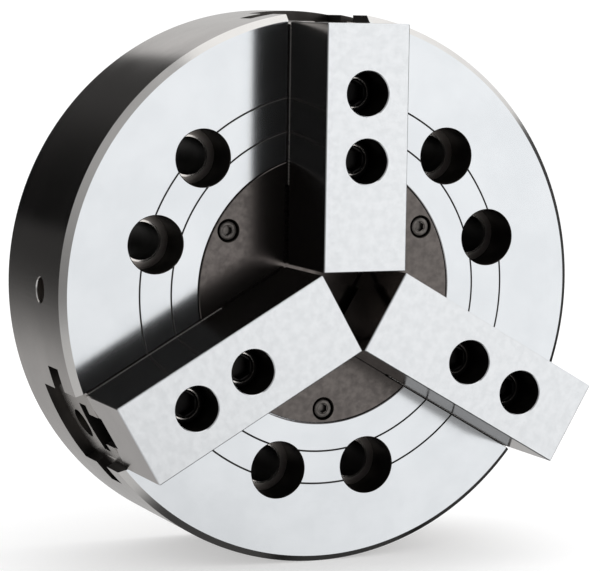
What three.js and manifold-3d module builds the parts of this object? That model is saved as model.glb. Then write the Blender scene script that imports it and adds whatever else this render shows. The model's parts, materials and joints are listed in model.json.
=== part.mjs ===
// Three-jaw power chuck, 254 mm across, closed centre, with soft top jaws.
//
// Millimetres. The chuck is drawn lying on its back: z runs along the spindle axis from the
// rear face (z = 0) to the front, y runs up through jaw 1, x to the right as seen from the
// front. The last group turns it so that +Z is up and the jaws face -Y. The origin is the
// centre of the rear face. Jaws are shown closed; parts that touch keep a gap of FIT.
import * as THREE from 'three';
import { mergeVertices } from 'three/addons/utils/BufferGeometryUtils.js';
import Module from 'manifold-3d';

const wasm = await Module();
wasm.setup();

// ---- driving dimensions ----
const FIT = 0.3; // gap between faces that touch
const PAST = 2; // how far a cutting tool runs past the face it leaves
const JAWS = 3;

// facets around round shapes
const RIM_FACETS = 96;
const WIDE_FACETS = 72;
const ROUND_FACETS = 48;
const COUNTERBORE_FACETS = 32;
const HOLE_FACETS = 24;
const SLIM_FACETS = 16;
const SCREW_FACETS = 12;

// body
const BODY_RADIUS = 127;
const BODY_THICKNESS = 80;
const RIM_CHAMFER = 3;
const REAR_CHAMFER = 1.5;
const REGISTER_RADIUS = 110;
const REGISTER_DEPTH = 6;
const BORE_RADIUS = 46;

// bolts that hold the chuck to the spindle: two between each pair of jaws
const MOUNT_CIRCLE_RADIUS = 85.7;
const MOUNT_HALF_ANGLE = 15; // degrees either side of the middle between two jaws
const MOUNT_HOLE_RADIUS = 8.75;
const MOUNT_HEAD_RADIUS = 13.25;
const MOUNT_HEAD_DEPTH = 20;

// lifting-eye hole in the rim
const EYE_HOLE_ANGLE = 270; // degrees clockwise from jaw 1
const EYE_HOLE_RADIUS = 6;
const EYE_HOLE_DEPTH = 18;
const EYE_HOLE_LEVEL = 50;

// wedge: the plunger slides 19 mm and each jaw moves 4.4 mm
const PLUNGER_STROKE = 19;
const JAW_STROKE = 4.4;
const SLOPE = JAW_STROKE / PLUNGER_STROKE;
const WEDGE_RADIUS = 36; // radius of the sloping face at WEDGE_LEVEL
const WEDGE_LEVEL = 28;
const HOOK_NECK_HALF = 8.7;
const HOOK_NECK_DEPTH = 6.3;
const HOOK_HEAD_HALF = 14.7;
const HOOK_HEAD_DEPTH = 7.4;
const WEDGE_FLAT_CUT = 32; // depth of the flat milled outside each sloping face

// master jaw and the slot it runs in
const JAW_HALF = 20;
const JAW_WING_HALF = 30.7;
const JAW_FLOOR = 32.3;
const JAW_WING_BOTTOM = 47.8;
const JAW_WING_TOP = 61.2;
const JAW_HOOK_TOP = 66;
const JAW_TOP = 82;
const JAW_INNER_RADIUS = 48.3;
const JAW_WING_INNER_RADIUS = 50.3;
const JAW_END_CHAMFER = 5;

// T-slot in the master jaw and the T-nut in it
const T_NECK_HALF = 8;
const T_HEAD_HALF = 12.5;
const T_SLOT_FLOOR = 61.5;
const T_SLOT_SHOULDER = 70.5;
const T_SLOT_INNER_RADIUS = 50.5;
const T_NUT_INNER_RADIUS = 51.5;
const T_NUT_OUTER_RADIUS = 101;
const T_NUT_TOP = 84.5;

// top jaw and its bolts
const TOP_JAW_HALF = 19.8;
const TOP_JAW_INNER_RADIUS = 12;
const TOP_JAW_LENGTH = 110;
const TOP_JAW_FRONT = 123.7;
const KEYWAY_TOP = 85.8;
const JAW_BOLT_RADII = { inner: 61, outer: 91 };
const JAW_BOLT_RADIUS = 6;
const JAW_BOLT_LENGTH = 30;
const JAW_BOLT_HEAD_RADIUS = 9;
const JAW_BOLT_HEAD_HEIGHT = 12;
const JAW_BOLT_SEAT = 95.7;
const JAW_BOLT_HOLE_RADIUS = 6.75;
const JAW_COUNTERBORE_RADIUS = 10;
const JAW_BOLT_HEX = 10;

// grease nipple in the outer end of each master jaw
const NIPPLE_LEVEL = 51;
const NIPPLE_POCKET_RADIUS = 7.3;
const NIPPLE_POCKET_FLOOR = 109;
const NIPPLE_HOLE_RADIUS = 3.3;
const NIPPLE_HOLE_DEPTH = 7;
const NIPPLE_HEX = 9;
const NIPPLE_HEX_HEIGHT = 5;
const NIPPLE_NECK_RADIUS = 2.2;
const NIPPLE_NECK_START = 6.5; // heights above the foot
const NIPPLE_NECK_END = 8.5;
const NIPPLE_COLLAR_RADIUS = 3.2;
const NIPPLE_COLLAR_HEIGHT = 9.7;
const NIPPLE_TIP_RADIUS = 1.6;
const NIPPLE_HEIGHT = 11.5;

// centre cover and its screws
const COVER_RADIUS = 62;
const COVER_THICKNESS = 7.7;
const COVER_NOTCH_RADIUS = 47.8;
const COVER_SCREW_CIRCLE = 55.5;
const COVER_SCREW_RADIUS = 2.5;
const COVER_SCREW_LENGTH = 12;
const COVER_SCREW_HEAD_RADIUS = 4.25;
const COVER_SCREW_HEAD_HEIGHT = 4.6;
const COVER_COUNTERBORE_RADIUS = 5;
const COVER_SCREW_SINK = 0.6; // head top below the face
const COVER_SCREW_HEX = 4;
const COVER_SCREW_SEAT = BODY_THICKNESS - COVER_SCREW_SINK - COVER_SCREW_HEAD_HEIGHT;

// plunger, draw screw and the ring that keeps the screw in
const PLUNGER_RADIUS = 45.7;
const PLUNGER_CHAMFER = 1;
const PLUNGER_REAR = 6.5;
const PLUNGER_FRONT = 52;
const SCREW_RADIUS = 13;
const SCREW_REAR = 10.1;
const SCREW_SHOULDER = 16.2;
const SCREW_FRONT = 46;
const SCREW_FLANGE_RADIUS = 20.2;
const DRAWBAR_BORE_RADIUS = 10;
const DRAWBAR_BORE_DEPTH = 24;
const SCREW_HEX = 14;
const SCREW_HEX_DEPTH = 9;
const RING_INNER_RADIUS = 14;
const RING_THICKNESS = 3;
const RING_SLOT_HALF = 2;
const RING_SLOT_DEPTH = 1.4;

// detent that clicks as the draw screw is turned
const DETENT_LEVEL = 30;
const DETENT_HOLE_RADIUS = 3.3;
const BALL_RADIUS = 3;
const BALL_BANDS = 10;
const SPRING_RADIUS = 2.3; // middle of the wire
const SPRING_WIRE_RADIUS = 0.4;
const SPRING_TURNS = 5;
const SPRING_LENGTH = 10;
const SPRING_STEPS_PER_TURN = 12;
const SET_SCREW_LENGTH = 8;
const SET_SCREW_HEX = 3;

// ---- finishes ----
function finish(color, roughness, metalness) {
  return new THREE.MeshStandardMaterial({ color, roughness, metalness });
}
const groundSteel = finish(0xdfe3e6, 0.32, 0.9);
const milledSteel = finish(0xe3e5e6, 0.42, 0.85);
const darkCover = finish(0x55575a, 0.6, 0.7);
const blackScrew = finish(0x1c1c1e, 0.5, 0.8);
const jawSteel = finish(0x9a938d, 0.45, 0.85);
const hardSteel = finish(0x8b8d90, 0.4, 0.9);
const brightSteel = finish(0xc4c8cc, 0.25, 1.0);
const brass = finish(0xb58b45, 0.35, 1.0);

// ---- shape helpers ----

// A closed three.js geometry as a solid, its shared corners merged.
function solid(geometry) {
  geometry.deleteAttribute('normal');
  geometry.deleteAttribute('uv');
  const merged = mergeVertices(geometry);
  const corners = [];
  for (let i = 0; i < merged.index.count; i += 3) {
    const [a, b, c] = [i, i + 1, i + 2].map((k) => merged.index.getX(k));
    if (a !== b && b !== c && c !== a) corners.push(a, b, c);
  }
  const vertProperties = new Float32Array(merged.attributes.position.array);
  const triVerts = new Uint32Array(corners);
  return new wasm.Manifold(new wasm.Mesh({ numProp: 3, vertProperties, triVerts }));
}

// A solid back as a three.js mesh.
function part(name, shape, material) {
  const { vertProperties, triVerts } = shape.getMesh();
  const geometry = new THREE.BufferGeometry();
  geometry.setAttribute('position', new THREE.BufferAttribute(vertProperties, 3));
  geometry.setIndex(new THREE.BufferAttribute(triVerts, 1));
  geometry.computeVertexNormals();
  const mesh = new THREE.Mesh(geometry, material);
  mesh.name = name;
  return mesh;
}

// A solid turned about the z axis from an outline of [radius, z] points.
function turned(outline, segments = ROUND_FACETS) {
  const points = [...outline, outline[0]].map(([radius, z]) => new THREE.Vector2(radius, z));
  return solid(new THREE.LatheGeometry(points, segments).rotateX(Math.PI / 2));
}

// A round bar along z with its middle at (x, y).
function rod(radius, bottom, top, { x = 0, y = 0, segments = HOLE_FACETS } = {}) {
  const bar = new THREE.CylinderGeometry(radius, radius, top - bottom, segments);
  return solid(bar.rotateX(Math.PI / 2).translate(x, y, (bottom + top) / 2));
}

// A six-sided bar along z, measured across its flats.
function hexRod(acrossFlats, bottom, top, place = {}) {
  return rod(acrossFlats / Math.sqrt(3), bottom, top, { ...place, segments: 6 });
}

// A bar along y, which is the radial direction of jaw 1, at height z.
function radialRod(radius, inner, outer, z, segments = HOLE_FACETS) {
  const bar = new THREE.CylinderGeometry(radius, radius, outer - inner, segments);
  return solid(bar.translate(0, (inner + outer) / 2, z));
}

// A block from -half to +half in x.
function block(half, inner, outer, bottom, top) {
  const box = new THREE.BoxGeometry(2 * half, outer - inner, top - bottom);
  return solid(box.translate(0, (inner + outer) / 2, (bottom + top) / 2));
}

// A plate of the given half thickness in x with an outline of [y, z] points.
function plate(half, outline) {
  const shape = new THREE.Shape(outline.map(([y, z]) => new THREE.Vector2(y, z)));
  const slab = new THREE.ExtrudeGeometry(shape, { depth: 2 * half, bevelEnabled: false });
  const yzx = new THREE.Matrix4().set(0, 0, 1, -half, 1, 0, 0, 0, 0, 1, 0, 0, 0, 0, 0, 1);
  return solid(slab.applyMatrix4(yzx));
}

// A copy turned clockwise about the axis, seen from the front.
const clockwise = (shape, degrees) => shape.rotate([0, 0, -degrees]);

// One copy of a shape at each jaw, joined.
function atEachJaw(shape) {
  let all = shape;
  for (let k = 1; k < JAWS; k += 1) all = all.add(clockwise(shape, (360 / JAWS) * k));
  return all;
}

const onCircle = (radius, degrees) => ({
  x: radius * Math.sin(THREE.MathUtils.degToRad(degrees)),
  y: radius * Math.cos(THREE.MathUtils.degToRad(degrees)),
});

// ---- wedge faces ----

// Radius of the sloping face at height z, moved out by "offset" square to the slope.
const wedgeRadius = (z, offset = 0) =>
  WEDGE_RADIUS + SLOPE * (WEDGE_LEVEL - z) + offset * Math.sqrt(1 + SLOPE ** 2);

// A slab between two offsets from the sloping face.
function wedgeSlab(half, bottom, top, inside, outside) {
  return plate(half, [
    [wedgeRadius(bottom, inside), bottom],
    [wedgeRadius(bottom, outside), bottom],
    [wedgeRadius(top, outside), top],
    [wedgeRadius(top, inside), top],
  ]);
}

// ---- pieces ----

function bodyShape() {
  const ring = turned([
    [BORE_RADIUS, REGISTER_DEPTH],
    [REGISTER_RADIUS, REGISTER_DEPTH],
    [REGISTER_RADIUS, 0],
    [BODY_RADIUS - REAR_CHAMFER, 0],
    [BODY_RADIUS, REAR_CHAMFER],
    [BODY_RADIUS, BODY_THICKNESS - RIM_CHAMFER],
    [BODY_RADIUS - RIM_CHAMFER, BODY_THICKNESS],
    [COVER_RADIUS + FIT, BODY_THICKNESS],
    [COVER_RADIUS + FIT, BODY_THICKNESS - COVER_THICKNESS - FIT],
    [BORE_RADIUS, BODY_THICKNESS - COVER_THICKNESS - FIT],
  ], RIM_FACETS);

  const past = BODY_RADIUS + PAST;
  const slot = block(JAW_HALF + FIT, 0, past, JAW_FLOOR - FIT, BODY_THICKNESS + PAST);
  const wings = block(JAW_WING_HALF + FIT, 0, past, JAW_WING_BOTTOM - FIT, JAW_WING_TOP + FIT);
  let body = ring.subtract(atEachJaw(slot.add(wings)));

  for (let k = 0; k < JAWS; k += 1) {
    const between = (360 / JAWS) * (k + 0.5);
    for (const side of [-1, 1]) {
      const place = onCircle(MOUNT_CIRCLE_RADIUS, between + side * MOUNT_HALF_ANGLE);
      body = body.subtract(rod(MOUNT_HOLE_RADIUS, -PAST, BODY_THICKNESS + PAST, place));
      const seat = BODY_THICKNESS - MOUNT_HEAD_DEPTH;
      body = body.subtract(rod(MOUNT_HEAD_RADIUS, seat, BODY_THICKNESS + PAST, place));
    }
    const screw = onCircle(COVER_SCREW_CIRCLE, between);
    const tip = BODY_THICKNESS - COVER_THICKNESS - COVER_SCREW_LENGTH;
    const tapped = { ...screw, segments: SCREW_FACETS };
    body = body.subtract(rod(COVER_SCREW_RADIUS + FIT, tip, BODY_THICKNESS, tapped));
  }
  const eye = radialRod(EYE_HOLE_RADIUS, BODY_RADIUS - EYE_HOLE_DEPTH, past, EYE_HOLE_LEVEL);
  return body.subtract(clockwise(eye, EYE_HOLE_ANGLE));
}

function coverShape() {
  const bottom = BODY_THICKNESS - COVER_THICKNESS;
  let cover = rod(COVER_RADIUS, bottom, BODY_THICKNESS, { segments: WIDE_FACETS });
  const notch = block(JAW_HALF + FIT, COVER_NOTCH_RADIUS, COVER_RADIUS + PAST, bottom - PAST,
    BODY_THICKNESS + PAST);
  cover = cover.subtract(atEachJaw(notch));
  for (let k = 0; k < JAWS; k += 1) {
    const place = onCircle(COVER_SCREW_CIRCLE, (360 / JAWS) * (k + 0.5));
    const seat = COVER_SCREW_SEAT - FIT;
    const drilled = { ...place, segments: SCREW_FACETS };
    cover = cover.subtract(rod(COVER_SCREW_RADIUS + FIT, bottom - PAST, seat + PAST, drilled));
    cover = cover.subtract(rod(COVER_COUNTERBORE_RADIUS, seat, BODY_THICKNESS + PAST, place));
  }
  return cover;
}

// A socket-head screw pointing down z from its seat.
function socketScrew(radius, length, headRadius, headHeight, hex, seat) {
  const head = rod(headRadius, seat, seat + headHeight);
  const shank = rod(radius, seat - length, seat + FIT, { segments: SCREW_FACETS });
  const socket = hexRod(hex, seat + headHeight / 2, seat + headHeight + PAST);
  return head.add(shank).subtract(socket);
}

function masterJawShape() {
  const body = plate(JAW_HALF, [
    [wedgeRadius(JAW_FLOOR, FIT / 2), JAW_FLOOR],
    [BODY_RADIUS, JAW_FLOOR],
    [BODY_RADIUS, JAW_TOP],
    [JAW_INNER_RADIUS, JAW_TOP],
    [JAW_INNER_RADIUS, JAW_HOOK_TOP],
    [wedgeRadius(JAW_HOOK_TOP, FIT / 2), JAW_HOOK_TOP],
  ]);
  const wings = block(JAW_WING_HALF, JAW_WING_INNER_RADIUS, BODY_RADIUS, JAW_WING_BOTTOM, JAW_WING_TOP);
  const neck = wedgeSlab(HOOK_NECK_HALF, JAW_FLOOR, JAW_HOOK_TOP, -HOOK_NECK_DEPTH, FIT);
  const head = wedgeSlab(HOOK_HEAD_HALF, JAW_FLOOR, JAW_HOOK_TOP, -HOOK_NECK_DEPTH - HOOK_HEAD_DEPTH,
    -HOOK_NECK_DEPTH);

  // the outer end is turned to the body's own radius, so it is flush when the jaw is open
  const endRound = turned([
    [0, 0],
    [BODY_RADIUS - JAW_END_CHAMFER, 0],
    [BODY_RADIUS - JAW_END_CHAMFER, JAW_FLOOR],
    [BODY_RADIUS, JAW_FLOOR + JAW_END_CHAMFER],
    [BODY_RADIUS, JAW_TOP + PAST],
    [0, JAW_TOP + PAST],
  ], RIM_FACETS).translate([0, -JAW_STROKE, 0]);

  const outer = BODY_RADIUS + PAST;
  const slotNeck = block(T_NECK_HALF, T_SLOT_INNER_RADIUS, outer, T_SLOT_SHOULDER - PAST, JAW_TOP + PAST);
  const slotHead = block(T_HEAD_HALF, T_SLOT_INNER_RADIUS, outer, T_SLOT_FLOOR, T_SLOT_SHOULDER);
  const pocket = radialRod(NIPPLE_POCKET_RADIUS, NIPPLE_POCKET_FLOOR, outer, NIPPLE_LEVEL);
  const nippleHole = radialRod(NIPPLE_HOLE_RADIUS, NIPPLE_POCKET_FLOOR - NIPPLE_HOLE_DEPTH,
    NIPPLE_POCKET_FLOOR + PAST, NIPPLE_LEVEL, SCREW_FACETS);
  return body.add(wings).add(neck).add(head).intersect(endRound)
    .subtract(slotNeck.add(slotHead))
    .subtract(pocket.add(nippleHole));
}

function tNutShape() {
  const inner = T_NUT_INNER_RADIUS;
  const outer = T_NUT_OUTER_RADIUS;
  const head = block(T_HEAD_HALF - FIT, inner, outer, T_SLOT_FLOOR + FIT, T_SLOT_SHOULDER - FIT);
  const neck = block(T_NECK_HALF - FIT, inner, outer, T_SLOT_SHOULDER - PAST, T_NUT_TOP);
  let nut = head.add(neck);
  for (const y of Object.values(JAW_BOLT_RADII)) {
    nut = nut.subtract(rod(JAW_BOLT_RADIUS + FIT, 0, T_NUT_TOP + PAST, { y, segments: SLIM_FACETS }));
  }
  return nut;
}

function topJawShape() {
  const bottom = JAW_TOP + FIT;
  const outer = TOP_JAW_INNER_RADIUS + TOP_JAW_LENGTH;
  let jaw = block(TOP_JAW_HALF, TOP_JAW_INNER_RADIUS, outer, bottom, TOP_JAW_FRONT);
  jaw = jaw.subtract(block(T_NECK_HALF, 0, outer + PAST, bottom - PAST, KEYWAY_TOP));
  for (const y of Object.values(JAW_BOLT_RADII)) {
    jaw = jaw.subtract(rod(JAW_BOLT_HOLE_RADIUS, bottom - PAST, TOP_JAW_FRONT, { y }));
    const seat = JAW_BOLT_SEAT - FIT;
    const wide = { y, segments: COUNTERBORE_FACETS };
    jaw = jaw.subtract(rod(JAW_COUNTERBORE_RADIUS, seat, TOP_JAW_FRONT + PAST, wide));
  }
  return jaw;
}

function greaseNippleShape() {
  const foot = NIPPLE_POCKET_FLOOR + FIT;
  const thread = foot - NIPPLE_HOLE_DEPTH + 2 * FIT;
  const body = turned([
    [0, thread],
    [NIPPLE_HOLE_RADIUS - FIT, thread],
    [NIPPLE_HOLE_RADIUS - FIT, foot + NIPPLE_HEX_HEIGHT],
    [NIPPLE_NECK_RADIUS, foot + NIPPLE_NECK_START],
    [NIPPLE_NECK_RADIUS, foot + NIPPLE_NECK_END],
    [NIPPLE_COLLAR_RADIUS, foot + NIPPLE_COLLAR_HEIGHT],
    [NIPPLE_TIP_RADIUS, foot + NIPPLE_HEIGHT],
    [0, foot + NIPPLE_HEIGHT],
  ], SLIM_FACETS);
  const hexFoot = hexRod(NIPPLE_HEX, foot, foot + NIPPLE_HEX_HEIGHT);
  // stand it along the radial direction, at its height in the jaw
  return body.add(hexFoot).rotate([-90, 0, 0]).translate([0, 0, NIPPLE_LEVEL]);
}

function plungerShape() {
  let plunger = turned([
    [SCREW_FLANGE_RADIUS + FIT, PLUNGER_REAR],
    [PLUNGER_RADIUS - PLUNGER_CHAMFER, PLUNGER_REAR],
    [PLUNGER_RADIUS, PLUNGER_REAR + PLUNGER_CHAMFER],
    [PLUNGER_RADIUS, PLUNGER_FRONT - PLUNGER_CHAMFER],
    [PLUNGER_RADIUS - PLUNGER_CHAMFER, PLUNGER_FRONT],
    [SCREW_RADIUS + FIT, PLUNGER_FRONT],
    [SCREW_RADIUS + FIT, SCREW_SHOULDER + FIT],
    [SCREW_FLANGE_RADIUS + FIT, SCREW_SHOULDER + FIT],
  ], WIDE_FACETS);
  const ends = [PLUNGER_REAR - PAST, PLUNGER_FRONT + PAST];
  const neckFloor = -HOOK_NECK_DEPTH + FIT;
  const headFloor = -HOOK_NECK_DEPTH - HOOK_HEAD_DEPTH - FIT;
  const flat = wedgeSlab(JAW_HALF + FIT, ...ends, -FIT / 2, WEDGE_FLAT_CUT);
  const neck = wedgeSlab(HOOK_NECK_HALF + FIT, ...ends, neckFloor - FIT, FIT);
  const head = wedgeSlab(HOOK_HEAD_HALF + FIT, ...ends, headFloor, neckFloor);
  plunger = plunger.subtract(atEachJaw(flat.add(neck).add(head)));
  const detentHole = radialRod(DETENT_HOLE_RADIUS, 0, PLUNGER_RADIUS + PAST, DETENT_LEVEL, SLIM_FACETS);
  return plunger.subtract(clockwise(detentHole, 180));
}

function drawScrewShape() {
  const boreFloor = SCREW_REAR + DRAWBAR_BORE_DEPTH;
  const screw = turned([
    [0, boreFloor],
    [DRAWBAR_BORE_RADIUS, boreFloor],
    [DRAWBAR_BORE_RADIUS, SCREW_REAR],
    [SCREW_FLANGE_RADIUS, SCREW_REAR],
    [SCREW_FLANGE_RADIUS, SCREW_SHOULDER],
    [SCREW_RADIUS, SCREW_SHOULDER],
    [SCREW_RADIUS, SCREW_FRONT],
    [0, SCREW_FRONT],
  ]);
  return screw.subtract(hexRod(SCREW_HEX, SCREW_FRONT - SCREW_HEX_DEPTH, SCREW_FRONT + PAST));
}

function ringShape() {
  const rear = PLUNGER_REAR + FIT;
  const front = rear + RING_THICKNESS;
  const ring = turned([
    [RING_INNER_RADIUS, rear],
    [SCREW_FLANGE_RADIUS, rear],
    [SCREW_FLANGE_RADIUS, front],
    [RING_INNER_RADIUS, front],
  ]);
  // two slots across the rear take the pin wrench
  const slots = block(RING_SLOT_HALF, -PLUNGER_RADIUS, PLUNGER_RADIUS, rear - PAST, rear + RING_SLOT_DEPTH);
  return ring.subtract(slots);
}

// The detent lies along +y here and is turned to its place between two jaws.
const ballCentre = SCREW_RADIUS + FIT + BALL_RADIUS;
const springInner = ballCentre + BALL_RADIUS + FIT;
const springOuter = springInner + SPRING_LENGTH;
const setScrewInner = springOuter + FIT;

function ballShape() {
  const ball = new THREE.SphereGeometry(BALL_RADIUS, SLIM_FACETS, BALL_BANDS);
  return solid(ball.translate(0, ballCentre, DETENT_LEVEL));
}

class Helix extends THREE.Curve {
  getPoint(t, target = new THREE.Vector3()) {
    const turn = 2 * Math.PI * SPRING_TURNS * t;
    const along = springInner + SPRING_WIRE_RADIUS + t * (SPRING_LENGTH - 2 * SPRING_WIRE_RADIUS);
    return target.set(SPRING_RADIUS * Math.cos(turn), along, DETENT_LEVEL + SPRING_RADIUS * Math.sin(turn));
  }
}

function springShape() {
  const wire = new THREE.Shape().absarc(0, 0, SPRING_WIRE_RADIUS, 0, 2 * Math.PI);
  const steps = SPRING_STEPS_PER_TURN * SPRING_TURNS;
  return solid(new THREE.ExtrudeGeometry(wire, { steps, curveSegments: 3, extrudePath: new Helix() }));
}

function setScrewShape() {
  const outer = setScrewInner + SET_SCREW_LENGTH;
  const barrel = rod(DETENT_HOLE_RADIUS - FIT, setScrewInner, outer, { segments: SLIM_FACETS });
  const socket = hexRod(SET_SCREW_HEX, outer - SET_SCREW_LENGTH / 2, outer + PAST);
  return barrel.subtract(socket).rotate([-90, 0, 0]).translate([0, 0, DETENT_LEVEL]);
}

// ---- assembly ----
const chuck = new THREE.Group();
chuck.rotation.x = Math.PI / 2;

chuck.add(part('chuck_body', bodyShape(), groundSteel));
chuck.add(part('centre_cover', coverShape(), darkCover));

const coverScrew = socketScrew(COVER_SCREW_RADIUS, COVER_SCREW_LENGTH, COVER_SCREW_HEAD_RADIUS,
  COVER_SCREW_HEAD_HEIGHT, COVER_SCREW_HEX, COVER_SCREW_SEAT);
for (let k = 0; k < JAWS; k += 1) {
  const screw = part(`cover_screw_${k + 1}`, coverScrew, blackScrew);
  const { x, y } = onCircle(COVER_SCREW_CIRCLE, (360 / JAWS) * (k + 0.5));
  screw.position.set(x, y, 0);
  chuck.add(screw);
}

chuck.add(part('plunger', plungerShape(), hardSteel));
chuck.add(part('draw_screw', drawScrewShape(), blackScrew));
chuck.add(part('screw_retaining_ring', ringShape(), hardSteel));

const detent = new THREE.Group();
detent.rotation.z = Math.PI;
detent.add(part('detent_ball', ballShape(), brightSteel));
detent.add(part('detent_spring', springShape(), brightSteel));
detent.add(part('detent_set_screw', setScrewShape(), blackScrew));
chuck.add(detent);

const masterJaw = masterJawShape();
const topJaw = topJawShape();
const tNut = tNutShape();
const nipple = greaseNippleShape();
const jawBolt = socketScrew(JAW_BOLT_RADIUS, JAW_BOLT_LENGTH, JAW_BOLT_HEAD_RADIUS, JAW_BOLT_HEAD_HEIGHT,
  JAW_BOLT_HEX, JAW_BOLT_SEAT);
for (let k = 0; k < JAWS; k += 1) {
  const jaw = new THREE.Group();
  jaw.rotation.z = (-2 * Math.PI / JAWS) * k;
  jaw.add(part(`master_jaw_${k + 1}`, masterJaw, jawSteel));
  jaw.add(part(`top_jaw_${k + 1}`, topJaw, milledSteel));
  jaw.add(part(`t_nut_${k + 1}`, tNut, hardSteel));
  jaw.add(part(`grease_nipple_${k + 1}`, nipple, brass));
  for (const [place, radius] of Object.entries(JAW_BOLT_RADII)) {
    const bolt = part(`jaw_bolt_${k + 1}_${place}`, jawBolt, blackScrew);
    bolt.position.y = radius;
    jaw.add(bolt);
  }
  chuck.add(jaw);
}

export default chuck;
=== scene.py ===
"""Looks of a 254 mm three-jaw power chuck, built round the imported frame.

Pieces are drawn in millimetres as (x, y, height): x to the right and y up seen from the
front, height above the rear face along the spindle axis, with jaw 1 standing up at x = 0.
They are then stood in the frame, which is in metres with the jaws facing -Y and +Z up.
"""
import json
import math

import bmesh
import bpy
from mathutils import Matrix, Quaternion, Vector


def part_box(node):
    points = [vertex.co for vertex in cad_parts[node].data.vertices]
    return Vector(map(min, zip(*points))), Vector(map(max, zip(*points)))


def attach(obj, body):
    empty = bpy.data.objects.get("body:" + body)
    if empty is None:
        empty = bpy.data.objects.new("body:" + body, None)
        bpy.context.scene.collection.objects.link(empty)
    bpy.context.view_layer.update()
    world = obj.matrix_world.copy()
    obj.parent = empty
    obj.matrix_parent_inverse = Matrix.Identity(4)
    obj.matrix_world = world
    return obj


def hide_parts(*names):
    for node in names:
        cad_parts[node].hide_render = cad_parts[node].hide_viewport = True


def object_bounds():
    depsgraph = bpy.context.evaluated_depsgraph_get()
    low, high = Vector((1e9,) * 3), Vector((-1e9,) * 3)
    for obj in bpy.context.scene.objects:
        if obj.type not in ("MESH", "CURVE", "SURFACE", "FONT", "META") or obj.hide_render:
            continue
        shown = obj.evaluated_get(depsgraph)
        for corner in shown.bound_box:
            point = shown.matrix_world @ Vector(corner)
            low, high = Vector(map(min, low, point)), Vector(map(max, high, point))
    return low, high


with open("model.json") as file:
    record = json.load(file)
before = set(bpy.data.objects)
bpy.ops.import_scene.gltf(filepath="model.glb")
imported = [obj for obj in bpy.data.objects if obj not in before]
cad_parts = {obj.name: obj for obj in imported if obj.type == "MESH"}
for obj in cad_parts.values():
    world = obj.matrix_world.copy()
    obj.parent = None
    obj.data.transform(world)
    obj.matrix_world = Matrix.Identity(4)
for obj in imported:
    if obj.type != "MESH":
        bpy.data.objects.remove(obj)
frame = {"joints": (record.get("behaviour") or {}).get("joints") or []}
cad_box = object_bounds()
scene = bpy.context.scene

# ---- camera ----
# A long lens, a little above the spindle axis and to the left of it, so that the whole
# front face, the left side of the rim and the closed jaws are seen together.
face_height = -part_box("chuck_body")[0].y
look_at = Vector((0, -face_height, 0))
azimuth = math.radians(-23.854)
elevation = math.radians(6.141)
roll = math.radians(0.916)
tilt = math.radians(1.3)
camera_distance = 1.1827
lens = bpy.data.cameras.new("product_lens")
lens.lens = 154.54
lens.shift_x = -0.0418
lens.shift_y = -0.0917
camera = bpy.data.objects.new("product_camera", lens)
scene.collection.objects.link(camera)
towards_camera = Vector((
    math.sin(azimuth) * math.cos(elevation),
    -math.cos(azimuth) * math.cos(elevation),
    math.sin(elevation),
))
camera.location = look_at + camera_distance * towards_camera
camera.rotation_mode = "QUATERNION"
camera.rotation_quaternion = (
    (-towards_camera).to_track_quat("-Z", "Y")
    @ Quaternion((0, 0, 1), roll)
    @ Quaternion((1, 0, 0), tilt)
)
scene.camera = camera
scene.view_settings.view_transform = "Standard"


# ---- studio ----
# A pale floor that glows a little, like a light table, under a white dome. A bright panel
# stands in front on the right, and black cards stand round the chuck, so that its flat ground
# faces read white, and its upright sides, the left of the rim and the right of the chamfer dark.
class Socket:
    """An output of a node. Python's operators on it add Math nodes."""

    def __init__(self, graph, link):
        self.graph = graph
        self.link = link

    def maths(self, operation, first, second):
        return self.graph.add("ShaderNodeMath", {"operation": operation}, {0: first, 1: second})

    def __add__(self, other):
        return self.maths("ADD", self, other)

    __radd__ = __add__

    def __mul__(self, other):
        return self.maths("MULTIPLY", self, other)

    __rmul__ = __mul__

    def __sub__(self, other):
        return self.maths("SUBTRACT", self, other)

    def __rsub__(self, other):
        return self.maths("SUBTRACT", other, self)

    def __truediv__(self, other):
        return self.maths("DIVIDE", self, other)

    def __rtruediv__(self, other):
        return self.maths("DIVIDE", other, self)

    def __pow__(self, other):
        return self.maths("POWER", self, other)

    def __rpow__(self, other):
        return self.maths("POWER", other, self)


class Graph:
    """A node tree with one method that adds any node to it."""

    def __init__(self, tree):
        self.tree = tree

    def add(self, kind, settings=None, inputs=None, output=0):
        node = self.tree.nodes.new(kind)
        for name, value in (settings or {}).items():
            setattr(node, name, value)
        for name, value in (inputs or {}).items():
            self.feed(node, name, value)
        return Socket(self, node.outputs[output])

    def feed(self, node, name, value):
        if isinstance(value, Socket):
            self.tree.links.new(value.link, node.inputs[name])
        else:
            node.inputs[name].default_value = value

    def colours(self, share, first, second):
        """The first colour, turning into the second as share goes from 0 to 1."""
        inputs = {0: share, 6: first, 7: second}
        return self.add("ShaderNodeMix", {"data_type": "RGBA"}, inputs, output=2)

    def rising(self, value, start, end, low=0.0, high=1.0):
        """A smooth step from low to high as value goes from start to end."""
        settings = {"interpolation_type": "SMOOTHSTEP"}
        return self.add("ShaderNodeMapRange", settings, {0: value, 1: start, 2: end, 3: low, 4: high})


scene.world = bpy.data.worlds.new("studio")
scene.world.use_nodes = True
scene.world.node_tree.nodes.clear()
dome = Graph(scene.world.node_tree)
heading = dome.add("ShaderNodeTexCoord", output="Generated")
heading_up = dome.add("ShaderNodeSeparateXYZ", inputs={0: heading}, output="Z")


def panel(x, y, z, full, edge):
    """1 within 'full' degrees of a direction, fading to 0 at 'edge' degrees."""
    aim = Vector((x, y, z)).normalized()
    settings = {"operation": "DOT_PRODUCT"}
    near = dome.add("ShaderNodeVectorMath", settings, {0: heading, 1: aim}, output="Value")
    return dome.rising(near, math.cos(math.radians(edge)), math.cos(math.radians(full)))


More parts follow.
